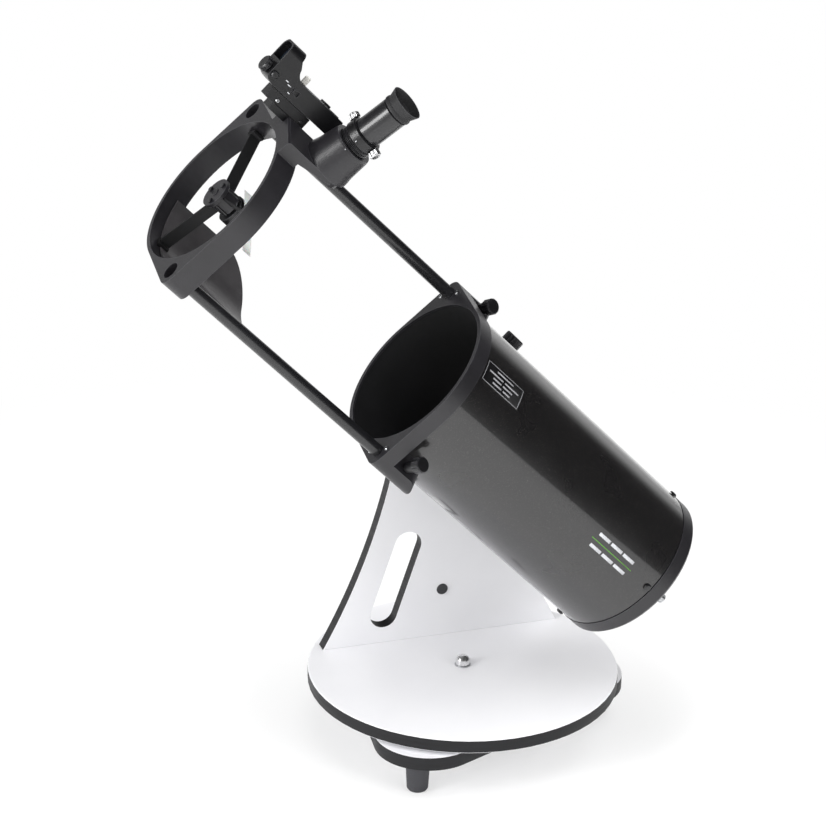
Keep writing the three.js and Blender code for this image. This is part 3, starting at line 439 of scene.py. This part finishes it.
def carried_over(node, softening=0.0004):
    """A CAD piece's own shape with its seams joined, its facets merged and its edges softened."""
    shape = bmesh.new()
    shape.from_mesh(NODES[node].data)
    bmesh.ops.remove_doubles(shape, verts=shape.verts, dist=SEAM)
    bmesh.ops.dissolve_degenerate(shape, edges=shape.edges, dist=SLIVER)
    bmesh.ops.dissolve_limit(shape, angle_limit=SAME_PLANE, verts=shape.verts, edges=shape.edges)
    for face in shape.faces:
        face.smooth = True
    mesh = bpy.data.meshes.new(node + "_shape")
    shape.to_mesh(mesh)
    shape.free()
    slot = SLOT_OF[node]
    mesh.materials.append(LOOKS[slot])
    piece = linked(node + "_visual", mesh)
    add_softening(piece, softening)
    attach(piece, BODY_OF[node])
    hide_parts(node)
    return piece


SLOT_OF = {part["node"]: part["material_slot"] for part in frame["record"]["subparts"]}
SOFTENING = {
    "ground_board": 0.0008,
    "turntable_disc": 0.0006,
    "side_arm": 0.0008,
    "upper_ring": 0.0012,
    "front_ring": 0.0011,
    "rear_cell": 0.0008,
    "finder_body": 0.0009,
    "finder_shoe": 0.0006,
    "main_tube": 0.0003,
    "primary_mirror": 0.0005,
    "secondary_mirror": 0.0003,
    "light_baffle": 0.0002,
    "spider_vane_1": 0.0002,
    "spider_vane_2": 0.0002,
    "spider_vane_3": 0.0002,
    "focuser_barrel": 0.0002,
}
PIECES = {node: carried_over(node, SOFTENING.get(node, 0.0004)) for node in NODES}


def second_look(node, look, chosen):
    """Gives the faces that a test picks out another material."""
    mesh = PIECES[node].data
    mesh.materials.append(LOOKS[look])
    for face in mesh.polygons:
        if chosen(face):
            face.material_index = len(mesh.materials) - 1


def from_tube_axis(point):
    """How far a point stands from the tube's axis, as a vector."""
    arm = Vector(point) - TUBE_ORIGIN
    return arm - TUBE_ALONG * arm.dot(TUBE_ALONG)


def faces_inwards(face):
    return from_tube_axis(face.center).normalized().dot(face.normal) < -0.5


def board_and_tube_faces():
    """Boards wear dark edging, the tube is matte black inside and the mirrors' edges are ground glass."""
    for board in ("ground_board", "turntable_disc"):
        second_look(board, "edge_band", lambda face: abs(face.normal.z) < 0.5)
    second_look("side_arm", "edge_band", lambda face: abs(face.normal.x) < 0.5)
    second_look("main_tube", "flat_black_metal", faces_inwards)
    second_look("light_baffle", "baffle_sheet", lambda face: True)
    second_look(
        "primary_mirror", "ground_glass", lambda face: face.normal.dot(TUBE_ALONG) < 0.9
    )
    second_look(
        "secondary_mirror", "ground_glass", lambda face: not is_slanted(face.normal)
    )


def is_slanted(normal):
    """True for the diagonal's two flat faces, which lean 45 degrees to the tube."""
    return abs(abs(normal.dot(TUBE_ALONG)) - math.sqrt(0.5)) < 0.02


board_and_tube_faces()


# ---------------------------------------------------------------- shapes for the small details
def add_block(shape, x, y, z, material=0):
    """A box between pairs of x, y and z."""
    corners = [shape.verts.new((a, b, c)) for a in x for b in y for c in z]
    for loop in ((0, 1, 3, 2), (4, 6, 7, 5), (0, 4, 5, 1), (2, 3, 7, 6), (0, 2, 6, 4), (1, 5, 7, 3)):
        face = shape.faces.new([corners[i] for i in loop])
        face.material_index = material


def add_turned(shape, profile, steps=24):
    """A solid of revolution about Z from [radius, z] points that start and end on the axis."""
    rows = []
    for radius, z in profile[1:-1]:
        turns = [2 * math.pi * i / steps for i in range(steps)]
        rows.append([shape.verts.new((radius * math.cos(a), radius * math.sin(a), z)) for a in turns])
    ends = (shape.verts.new((0, 0, profile[0][1])), shape.verts.new((0, 0, profile[-1][1])))
    for i in range(steps):
        j = (i + 1) % steps
        shape.faces.new((ends[0], rows[0][j], rows[0][i]))
        shape.faces.new((ends[1], rows[-1][i], rows[-1][j]))
        for low, high in zip(rows, rows[1:]):
            shape.faces.new((low[i], low[j], high[j], high[i]))


def add_prism(shape, outline, low, high):
    """A flat outline raised from one height to another."""
    bottom = [shape.verts.new((x, y, low)) for x, y in outline]
    top = [shape.verts.new((x, y, high)) for x, y in outline]
    shape.faces.new(bottom[::-1])
    shape.faces.new(top)
    for i in range(len(outline)):
        j = (i + 1) % len(outline)
        shape.faces.new((bottom[i], bottom[j], top[j], top[i]))


def toothed(radius, depth, teeth):
    """The outline of a knurled edge."""
    points = []
    for i in range(teeth * 2):
        reach = radius - depth * (i % 2)
        points.append((reach * math.cos(math.pi * i / teeth), reach * math.sin(math.pi * i / teeth)))
    return points


def add_bowed_plate(shape, round_it, along, radius, thick, material=0):
    """A thin plate that hugs a cylinder about the tube's axis, between pairs of angles and distances."""
    steps = max(2, int((round_it[1] - round_it[0]) / 2))
    rows = []
    for i in range(steps + 1):
        angle = round_it[0] + (round_it[1] - round_it[0]) * i / steps
        outer = radius + thick
        corners = ((radius, along[0]), (radius, along[1]), (outer, along[1]), (outer, along[0]))
        rows.append([shape.verts.new(round_tube(reach, angle, s)) for reach, s in corners])
    for first, second in zip(rows, rows[1:]):
        for k in range(4):
            face = shape.faces.new((first[k], first[(k + 1) % 4], second[(k + 1) % 4], second[k]))
            face.material_index = material
    for row in (rows[0], rows[-1]):
        shape.faces.new(row).material_index = material


def add_screw(name, body, slot, place, radius, height):
    """A pan-head screw standing along local Z, with its crossed recess drawn as a flat black cross of painted
    shade.
    """
    def build(shape):
        rim = height * 0.55
        add_turned(shape, [(0, -0.3), (radius, -0.3), (radius, rim), (radius * 0.72, height), (0, height)])
        # Painted shade: the recess is not cut; a flat black cross stands just proud of the head where the hollow
        # would be shaded.
        arm, half = radius * 0.6, radius * 0.13
        for x, y in (((-arm, arm), (-half, half)), ((-half, half), (-arm, arm))):
            add_block(shape, x, y, (height - 0.4, height + 0.03), material=1)
    made_piece(name, build, body, slot, place, looks=(slot, "flat_black_metal"), softening=0.00012)


# ---------------------------------------------------------------- printed marks on the tube
PRINT_LIFT = 0.05
PRINT_SURFACE = TUBE_RADIUS + 0.02
BAR_GAP = 2.5
BAR_HALF_ANGLE = 0.55
LINE_HALF_ANGLE = 0.35
LABEL = {"round": (43.0, 59.5), "along": (35.0, 94.0)}
# Each row of the label is a run of plain bars: (middle angle, bar lengths along the tube).
LABEL_ROWS = ((46.6, (26,)), (49.8, (22, 22)), (52.8, (15, 13)), (55.8, (11, 14)))
EMBLEM_ROWS = ((84.2, 1.2), (94.0, 1.2))
EMBLEM_BARS = (18, 18, 18)
EMBLEM_LINE = 89.3
EMBLEM_ALONG = (-204.0, -136.0)
EMBLEM_INDENT = 4


def add_bars(shape, middle, half_height, lengths, start, radius, material=0):
    """A row of plain bars that stands for a printed line."""
    turn = (middle - half_height, middle + half_height)
    for length in lengths:
        add_bowed_plate(shape, turn, (start, start + length), radius, PRINT_LIFT, material)
        start += length + BAR_GAP


def tube_label(shape):
    """A dark plate with a pale border and rows of plain bars."""
    turn, along = LABEL["round"], LABEL["along"]
    add_bowed_plate(shape, turn, along, PRINT_SURFACE, PRINT_LIFT)
    above = PRINT_SURFACE + PRINT_LIFT
    line = 0.55
    edge = math.degrees(line / TUBE_RADIUS)
    inset = 1.2
    low, high = turn[0] + edge * 2, turn[1] - edge * 2
    framed = (along[0] + inset, along[1] - inset)
    for side in (low, high - edge):
        add_bowed_plate(shape, (side, side + edge), framed, above, PRINT_LIFT, 1)
    for end in (along[0] + inset, along[1] - inset - line):
        add_bowed_plate(shape, (low, high), (end, end + line), above, PRINT_LIFT, 1)
    for middle, lengths in LABEL_ROWS:
        width = sum(lengths) + BAR_GAP * (len(lengths) - 1)
        start = (along[0] + along[1] - width) / 2
        add_bars(shape, middle, BAR_HALF_ANGLE, lengths, start, above, 1)


def tube_emblem(shape):
    """Two rows of equal plain bars either side of one thin green line."""
    for middle, half_height in EMBLEM_ROWS:
        add_bars(shape, middle, half_height, EMBLEM_BARS, EMBLEM_ALONG[0] + EMBLEM_INDENT, PRINT_SURFACE)
    line = (EMBLEM_LINE - LINE_HALF_ANGLE, EMBLEM_LINE + LINE_HALF_ANGLE)
    add_bowed_plate(shape, line, EMBLEM_ALONG, PRINT_SURFACE, PRINT_LIFT, 1)


made_piece("tube_label", tube_label, "tube", "tube_paint", TUBE_FRAME, ("label_black", "label_ink"), 0)
made_piece("tube_emblem", tube_emblem, "tube", "tube_paint", TUBE_FRAME, ("white_ink", "green_ink"), 0)


# ---------------------------------------------------------------- screws and other small fittings
BUSH_SCREW_INWARDS = 1.5
BUSH_SCREW_ASIDE = 12.8


def beside_rod(angle, aside):
    """A place beside a rod, square to the line from the tube's axis to it."""
    turn = math.radians(angle)
    out = Vector((math.sin(turn), math.cos(turn)))
    square = Vector((out.y, -out.x))
    return out * (ROD_CIRCLE - BUSH_SCREW_INWARDS) + square * aside


def add_ring_screws():
    """Two screws beside each rod hold the sliding bushes in the front ring."""
    for rod, angle in enumerate(ROD_ANGLES, 1):
        for side, aside in (("a", -BUSH_SCREW_ASIDE), ("b", BUSH_SCREW_ASIDE)):
            x, y = beside_rod(angle, aside)
            name = f"bush_screw_{rod}{side}"
            add_screw(name, "tube", "plain_steel", facing_sky(x, y, RING_FRONT), 2.6, 1.5)


def joint_frame(name):
    """A frame whose Z is a joint's axis and whose origin is the joint's place."""
    joint = JOINTS[name]
    turn = Vector(joint["axis"]).to_track_quat("Z", "Y").to_matrix().to_4x4()
    return Matrix.Translation(Vector(joint["pos_m"])) @ turn


def add_knurls():
    """The thumbscrews' heads are knurled between their plain ends."""
    for i in (1, 2):
        made_piece(
            f"thumbscrew_knurl_{i}",
            lambda shape: add_prism(shape, toothed(5.85, 0.6, 26), -2.9, 2.1),
            f"eyepiece_lock_{i}", "chrome", joint_frame(f"eyepiece_lock_turn_{i}"), softening=0.00008,
        )


def add_finder_fittings():
    """The finder's light strip and clip on its deck, its shoe's screws and the marks beside its switch."""
    on_finder = outward_frame(0, 0, 0)
    deck = FINDER_DECK
    made_piece(
        "finder_deck_strip",
        lambda shape: add_block(shape, (-9, 9), (-433, -387), (deck - 0.4, deck + 0.9)),
        "cage", "plain_steel", on_finder,
    )
    made_piece(
        "finder_battery_clip",
        lambda shape: add_block(shape, (-6, 6), (-409, -400), (deck, deck + 3.2)),
        "cage", "black_plastic", on_finder, softening=0.0006,
    )
    sideways = Matrix.Rotation(math.radians(90), 4, "Y")
    for name, along in (("front", 449), ("rear", 414)):
        spot = Vector((SHOE_RAIL_HALF_WIDTH, -along, SHOE_SCREW_OUT)) * MM
        place = on_finder @ Matrix.Translation(spot) @ sideways
        slot = "plain_steel" if name == "front" else "black_metal"
        add_screw(f"finder_shoe_screw_{name}", "cage", slot, place, 2.4, 1.4)
    flank = FINDER_HALF_WIDTH
    made_piece(
        "finder_switch_marks",
        lambda shape: [
            add_block(shape, (flank - 0.1, flank + 0.05), (y, y + length), (z, z + 1.0))
            for y, length, z in ((-460, 3.6, 132.6), (-455.6, 4.6, 130.6), (-450, 3.0, 124.6))
        ],
        "cage", "black_plastic", on_finder, ("white_ink",), 0,
    )


def add_hub_cap():
    """A shallow cap in the middle of the spider's hub."""
    profile = [(0, -0.5), (4.6, -0.5), (4.6, 0.5), (3.8, 0.9), (3.4, 0.5), (0, 0.5)]
    made_piece(
        "hub_cap",
        lambda shape: add_turned(shape, profile),
        "cage", "black_plastic", facing_sky(0, 0, HUB_FRONT), softening=0.0001,
    )


def add_focuser_marks():
    """A pale index line on the collar and a fine one on the turret."""
    on_focuser = outward_frame(FOCUSER_ANGLE, 0, FOCUSER_ALONG)
    for name, body, height, reach in (
        ("collar_index", "eyepiece_holder", (152.5, 154.5), COLLAR_RADIUS),
        ("turret_index", "cage", (137.0, 141.5), TURRET_RIM_RADIUS),
    ):
        place = on_focuser @ Matrix.Rotation(math.radians(-28), 4, "Z")
        made_piece(
            name,
            lambda shape, height=height, reach=reach: add_block(
                shape, (reach - 0.4, reach + 0.06), (-0.5, 0.5), height
            ),
            body, "black_plastic", place, ("white_ink",), 0,
        )


add_ring_screws()
add_knurls()
add_finder_fittings()
add_hub_cap()
add_focuser_marks()


# ---------------------------------------------------------------- camera, light and floor
CAMERA_AZIMUTH = math.radians(71.346)
CAMERA_ELEVATION = math.radians(23.064)
CAMERA_ROLL = math.radians(1.047)
CAMERA_DISTANCE = 3.2813
CAMERA_LENS = 130.37
AIM = Vector((AZIMUTH_AXIS.x, AZIMUTH_AXIS.y - 0.0655, 0.3953))
BACKDROP = 1.0
SOFT_LIGHT = 0.72
SKY_STOPS = ((0.0, 0.55), (0.5, 0.8), (0.6, 0.5), (0.68, 0.08), (1.0, 0.03))
FLOOR_HALF = 12.0
DARK_SIDE = Vector((0.26, 0.966, 0.0))
DARK_FROM = 1.2 + AIM.dot(DARK_SIDE)
DARK_LEVEL = 0.04


def add_camera():
    back = Vector((
        math.sin(CAMERA_AZIMUTH) * math.cos(CAMERA_ELEVATION),
        -math.cos(CAMERA_AZIMUTH) * math.cos(CAMERA_ELEVATION),
        math.sin(CAMERA_ELEVATION),
    ))
    level = Vector((math.cos(CAMERA_AZIMUTH), math.sin(CAMERA_AZIMUTH), 0))
    above = back.cross(level)
    right = level * math.cos(CAMERA_ROLL) + above * math.sin(CAMERA_ROLL)
    upward = above * math.cos(CAMERA_ROLL) - level * math.sin(CAMERA_ROLL)
    data = bpy.data.cameras.new("photo_view")
    data.lens = CAMERA_LENS
    data.sensor_width = 36.0
    data.clip_end = 60.0
    camera = bpy.data.objects.new("photo_view", data)
    bpy.context.scene.collection.objects.link(camera)
    turn = Matrix((right, upward, back)).transposed().to_4x4()
    camera.matrix_world = Matrix.Translation(AIM + back * CAMERA_DISTANCE) @ turn
    bpy.context.scene.camera = camera


def add_softbox(name, place, size, power, reflected=True):
    data = bpy.data.lights.new(name, "AREA")
    data.shape = "RECTANGLE"
    data.size, data.size_y = size
    data.energy = power
    lamp = bpy.data.objects.new(name, data)
    bpy.context.scene.collection.objects.link(lamp)
    lamp.location = place
    lamp.rotation_mode = "QUATERNION"
    lamp.rotation_quaternion = (AIM - Vector(place)).to_track_quat("-Z", "Y")
    lamp.visible_glossy = reflected


def add_floor():
    """A white floor: plain white far off, with a sector towards the dark side that only reflections see."""
    shape = bmesh.new()
    bmesh.ops.create_grid(shape, x_segments=8, y_segments=8, size=FLOOR_HALF)
    mesh = bpy.data.meshes.new("floor")
    shape.to_mesh(mesh)
    shape.free()
    floor = linked("floor", mesh)
    shader = Shader("floor_paint")
    tree = shader.tree
    cloudy = shader.noise(0.6, detail=2.0)
    shader.principled(
        Base_Color=shader.blended(cloudy, (0.93, 0.93, 0.93, 1), (0.95, 0.95, 0.95, 1)), Roughness=0.7
    )
    path = tree.nodes.new("ShaderNodeLightPath")
    far = shader.ranged(shader.distance_from(AIM.xy.to_3d()), 0.35, 1.1, 0.45, 1.0)
    sideways = shader.along(DARK_SIDE)
    past_edge = shader.ranged(sideways, DARK_FROM, DARK_FROM + 0.08, 0.0, 1.0)
    from_middle = shader.combined(sideways, AIM.dot(DARK_SIDE), "SUBTRACT")
    bearing = shader.combined(from_middle, shader.distance_from(AIM.xy.to_3d()), "DIVIDE")
    beyond = shader.combined(past_edge, shader.ranged(bearing, 0.58, 0.66, 0.0, 1.0), "MULTIPLY")
    surface = shader.surface.outputs["BSDF"]
    for ray, share, level in (("Is Camera Ray", far, 1.0), ("Is Glossy Ray", beyond, DARK_LEVEL)):
        glow = tree.nodes.new("ShaderNodeEmission")
        glow.inputs["Color"].default_value = (level, level, level, 1)
        mix = tree.nodes.new("ShaderNodeMixShader")
        tree.links.new(shader.combined(share, path.outputs[ray], "MULTIPLY"), mix.inputs["Fac"])
        tree.links.new(surface, mix.inputs[1])
        tree.links.new(glow.outputs["Emission"], mix.inputs[2])
        surface = mix.outputs["Shader"]
    tree.links.new(surface, tree.nodes["Material Output"].inputs["Surface"])
    mesh.materials.append(shader.material)


def graded_sky(tree):
    """What polished pieces reflect: a dark ceiling over a bright horizon with one dark side."""
    direction = tree.nodes.new("ShaderNodeTexCoord").outputs["Generated"]
    parts = tree.nodes.new("ShaderNodeSeparateXYZ")
    tree.links.new(direction, parts.inputs["Vector"])
    height = tree.nodes.new("ShaderNodeMapRange")
    height.inputs["From Min"].default_value = -1.0
    tree.links.new(parts.outputs["Z"], height.inputs["Value"])
    ramp = tree.nodes.new("ShaderNodeValToRGB")
    tree.links.new(height.outputs["Result"], ramp.inputs["Fac"])
    stops = ramp.color_ramp.elements
    while len(stops) < len(SKY_STOPS):
        stops.new(0.5)
    for stop, (place, level) in zip(stops, SKY_STOPS):
        stop.position = place
        stop.color = (level, level, level, 1)
    facing = tree.nodes.new("ShaderNodeVectorMath")
    facing.operation = "DOT_PRODUCT"
    tree.links.new(direction, facing.inputs[0])
    facing.inputs[1].default_value = DARK_SIDE
    side = tree.nodes.new("ShaderNodeMapRange")
    tree.links.new(facing.outputs["Value"], side.inputs["Value"])
    for name, value in (("From Min", 0.66), ("From Max", 0.8), ("To Min", 1.0), ("To Max", DARK_LEVEL)):
        side.inputs[name].default_value = value
    sky = tree.nodes.new("ShaderNodeBackground")
    tree.links.new(ramp.outputs["Color"], sky.inputs["Color"])
    tree.links.new(side.outputs["Result"], sky.inputs["Strength"])
    return sky


def plain_sky(tree, level):
    sky = tree.nodes.new("ShaderNodeBackground")
    sky.inputs["Color"].default_value = (level, level, level, 1)
    return sky


def add_world():
    """White for the camera, graded for reflections and even for soft light."""
    world = bpy.data.worlds.new("studio")
    bpy.context.scene.world = world
    world.use_nodes = True
    tree = world.node_tree
    tree.nodes.remove(tree.nodes["Background"])
    path = tree.nodes.new("ShaderNodeLightPath")
    surface = plain_sky(tree, SOFT_LIGHT).outputs["Background"]
    for ray, sky in (("Is Glossy Ray", graded_sky(tree)), ("Is Camera Ray", plain_sky(tree, BACKDROP))):
        mix = tree.nodes.new("ShaderNodeMixShader")
        tree.links.new(path.outputs[ray], mix.inputs["Fac"])
        tree.links.new(surface, mix.inputs[1])
        tree.links.new(sky.outputs["Background"], mix.inputs[2])
        surface = mix.outputs["Shader"]
    tree.links.new(surface, tree.nodes["World Output"].inputs["Surface"])


add_camera()
add_world()
add_floor()
add_softbox("key", (0.8, -3.0, 1.7), (1.0, 1.6), 60)
add_softbox("fill", (2.8, 1.8, 2.2), (1.6, 1.6), 40, reflected=False)
add_softbox("top", (0.3, 0.6, 3.4), (3.0, 3.0), 54, reflected=False)
bpy.context.scene.view_settings.view_transform = "Standard"
